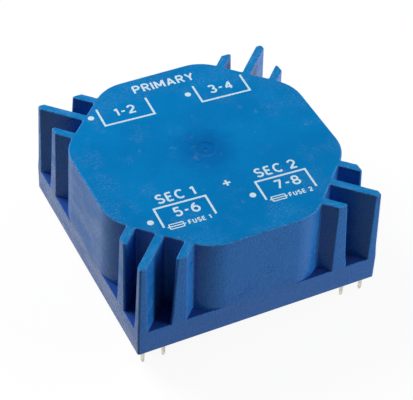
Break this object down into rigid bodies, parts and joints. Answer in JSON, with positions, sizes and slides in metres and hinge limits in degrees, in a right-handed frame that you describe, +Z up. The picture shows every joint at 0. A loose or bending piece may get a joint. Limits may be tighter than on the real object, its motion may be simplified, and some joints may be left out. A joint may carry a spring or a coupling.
{
  "type": "encapsulated toroidal transformer",
  "caption": "Flat square transformer: a wound ring core potted in a moulded housing with drafted cooling fins at its corners and straight pins below for a circuit board.",
  "frame": {"origin": "middle of the pin rectangle, on the seating plane at the rim of the housing", "axes": "+Z up, away from the circuit board; +X along a row of pins, with the primary row at +Y"},
  "size_m": [0.06, 0.06, 0.031],
  "materials": {
    "housing_plastic": "satin, fine moulded grain",
    "potting_resin": "poured, slightly wavy",
    "core_steel": "strip edges",
    "insulating_tape": "lapped film",
    "enamelled_copper": "enamelled wire",
    "tinned_wire": "tinned",
    "solder": "reflowed",
    "primary_sleeve": "smooth sleeve",
    "secondary_sleeve": "smooth sleeve",
    "print_ink": "stamped print on the housing's top"
  },
  "bodies": {
    "root": {"housing": "housing_plastic", "potting_resin": "potting_resin", "core": "core_steel", "core_wrap": "insulating_tape", "primary_winding_a": "enamelled_copper", "primary_winding_b": "enamelled_copper", "barrier_tape": "insulating_tape", "secondary_winding_a": "enamelled_copper", "secondary_winding_b": "enamelled_copper", "outer_tape": "insulating_tape", "solder_joints": "solder", "pin_1": "tinned_wire", "pin_2": "tinned_wire", "pin_3": "tinned_wire", "pin_4": "tinned_wire", "pin_5": "tinned_wire", "pin_6": "tinned_wire", "pin_7": "tinned_wire", "pin_8": "tinned_wire", "lead_1": "primary_sleeve", "lead_2": "primary_sleeve", "lead_3": "primary_sleeve", "lead_4": "primary_sleeve", "lead_5": "secondary_sleeve", "lead_6": "secondary_sleeve", "lead_7": "secondary_sleeve", "lead_8": "secondary_sleeve"}
  },
  "joints": []
}
